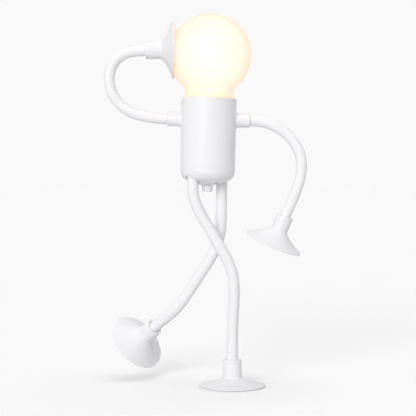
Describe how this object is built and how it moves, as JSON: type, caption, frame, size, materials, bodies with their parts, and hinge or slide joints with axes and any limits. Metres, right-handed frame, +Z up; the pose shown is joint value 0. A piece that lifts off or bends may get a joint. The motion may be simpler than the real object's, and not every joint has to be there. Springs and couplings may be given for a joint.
{
  "type": "figure lamp",
  "caption": "White figure lamp: cup-shaped torso, lit globe bulb as the head, and bendable hose arms and legs that end in soft flared cups.",
  "frame": {"origin": "centre of the standing foot's rim, on the surface that the lamp stands on", "axes": "+X to the viewer's right in the picture, +Y away from the viewer, +Z up"},
  "size_m": [0.1977, 0.1256, 0.3648],
  "materials": {
    "white_shell": "satin",
    "white_silicone": "matte",
    "white_cup_silicone": "matte",
    "core_steel": "brushed",
    "zinc_steel": "satin",
    "dark_moulding": "satin",
    "brass": "satin",
    "wire_sleeve": "gloss",
    "opal_glass": "satin",
    "bulb_plastic": "satin",
    "board_metal": "satin",
    "cap_nickel": "polished",
    "cap_insulation": "gloss",
    "cap_solder": "satin"
  },
  "bodies": {
    "torso": {"casing": "white_shell", "base_cap": "white_shell", "cap_screws": "zinc_steel", "root_ferrules": "zinc_steel", "switch_housing": "dark_moulding", "switch_screws": "zinc_steel", "switch_spring": "zinc_steel", "dc_inlet": "white_shell", "inlet_nut": "zinc_steel", "holder_body": "white_shell", "holder_shell": "brass", "holder_contact": "brass", "holder_screws": "zinc_steel", "lead_wires": "wire_sleeve", "raised_arm_root_skin": "white_silicone", "raised_arm_root_core": "core_steel", "lowered_arm_root_skin": "white_silicone", "lowered_arm_root_core": "core_steel", "standing_leg_root_skin": "white_silicone", "standing_leg_root_core": "core_steel", "lifted_leg_root_skin": "white_silicone", "lifted_leg_root_core": "core_steel"},
    "button": {"switch_button": "white_shell"},
    "bulb": {"globe_glass": "opal_glass", "bulb_collar": "bulb_plastic", "led_board": "board_metal", "bulb_driver": "dark_moulding", "screw_cap": "cap_nickel", "cap_insulator": "cap_insulation", "cap_contact": "cap_solder"},
    "raised_arm_upper": {"raised_arm_upper_skin": "white_silicone", "raised_arm_upper_core": "core_steel"},
    "raised_arm_fore": {"raised_arm_fore_skin": "white_silicone", "raised_arm_fore_core": "core_steel", "raised_hand_cup": "white_cup_silicone"},
    "lowered_arm_upper": {"lowered_arm_upper_skin": "white_silicone", "lowered_arm_upper_core": "core_steel"},
    "lowered_arm_fore": {"lowered_arm_fore_skin": "white_silicone", "lowered_arm_fore_core": "core_steel"},
    "lowered_arm_hand": {"lowered_arm_hand_skin": "white_silicone", "lowered_arm_hand_core": "core_steel", "lowered_hand_cup": "white_cup_silicone"},
    "standing_leg_thigh": {"standing_leg_thigh_skin": "white_silicone", "standing_leg_thigh_core": "core_steel"},
    "standing_leg_shin": {"standing_leg_shin_skin": "white_silicone", "standing_leg_shin_core": "core_steel"},
    "standing_leg_foot": {"standing_leg_foot_skin": "white_silicone", "standing_leg_foot_core": "core_steel", "standing_foot_cup": "white_cup_silicone"},
    "lifted_leg_thigh": {"lifted_leg_thigh_skin": "white_silicone", "lifted_leg_thigh_core": "core_steel"},
    "lifted_leg_shin": {"lifted_leg_shin_skin": "white_silicone", "lifted_leg_shin_core": "core_steel"},
    "lifted_leg_foot": {"lifted_leg_foot_skin": "white_silicone", "lifted_leg_foot_core": "core_steel", "lifted_foot_cup": "white_cup_silicone"}
  },
  "joints": [
    {"name": "raised_shoulder", "type": "hinge", "parent": "torso", "child": "raised_arm_upper", "pos_m": [-0.07802, -0.00403, 0.26393], "axis": [0, -1, 0], "range_deg": [0, 35]},
    {"name": "raised_elbow", "type": "hinge", "parent": "raised_arm_upper", "child": "raised_arm_fore", "pos_m": [-0.11027, -0.00403, 0.27799], "axis": [0, -1, 0], "range_deg": [0, 35]},
    {"name": "lowered_shoulder", "type": "hinge", "parent": "torso", "child": "lowered_arm_upper", "pos_m": [0.02849, -0.00402, 0.25907], "axis": [0, -1, 0], "range_deg": [-3, 35]},
    {"name": "lowered_elbow", "type": "hinge", "parent": "lowered_arm_upper", "child": "lowered_arm_fore", "pos_m": [0.05522, -0.00403, 0.2442], "axis": [0, -1, 0], "range_deg": [-5, 35]},
    {"name": "lowered_wrist", "type": "hinge", "parent": "lowered_arm_fore", "child": "lowered_arm_hand", "pos_m": [0.05577, 0.00014, 0.17641], "axis": [0.9208, 0, -0.3899], "range_deg": [-30, 30]},
    {"name": "standing_hip", "type": "hinge", "parent": "torso", "child": "standing_leg_thigh", "pos_m": [-0.03857, -0.0163, 0.1965], "axis": [-1, 0, 0], "range_deg": [-3, 35]},
    {"name": "standing_knee", "type": "hinge", "parent": "standing_leg_thigh", "child": "standing_leg_shin", "pos_m": [-0.01828, -0.01269, 0.14841], "axis": [0, 1, 0], "range_deg": [-15, 30]},
    {"name": "standing_ankle", "type": "hinge", "parent": "standing_leg_shin", "child": "standing_leg_foot", "pos_m": [0, 0, 0.0361], "axis": [0, 1, 0], "range_deg": [-25, 25]},
    {"name": "lifted_hip", "type": "hinge", "parent": "torso", "child": "lifted_leg_thigh", "pos_m": [-0.01035, 0.00824, 0.19591], "axis": [1, 0, 0], "range_deg": [-3, 35]},
    {"name": "lifted_knee", "type": "hinge", "parent": "lifted_leg_thigh", "child": "lifted_leg_shin", "pos_m": [-0.03236, 0.01438, 0.10822], "axis": [0, 1, 0], "range_deg": [-10, 30]},
    {"name": "lifted_ankle", "type": "hinge", "parent": "lifted_leg_shin", "child": "lifted_leg_foot", "pos_m": [-0.07134, 0.03509, 0.05981], "axis": [0.627, 0.779, 0], "range_deg": [-25, 25]},
    {"name": "switch_press", "type": "slide", "parent": "torso", "child": "button", "axis": [0.0209, 0, 0.9998], "range_m": [0, 0.002], "stiffness_N_per_m": 1000, "springref_m": -0.0005, "deforming": ["switch_spring"]},
    {"name": "bulb_turn", "type": "hinge", "parent": "torso", "child": "bulb", "pos_m": [-0.02284, -0.00403, 0.27329], "axis": [0.0209, 0, 0.9998], "continuous": true}
  ]
}
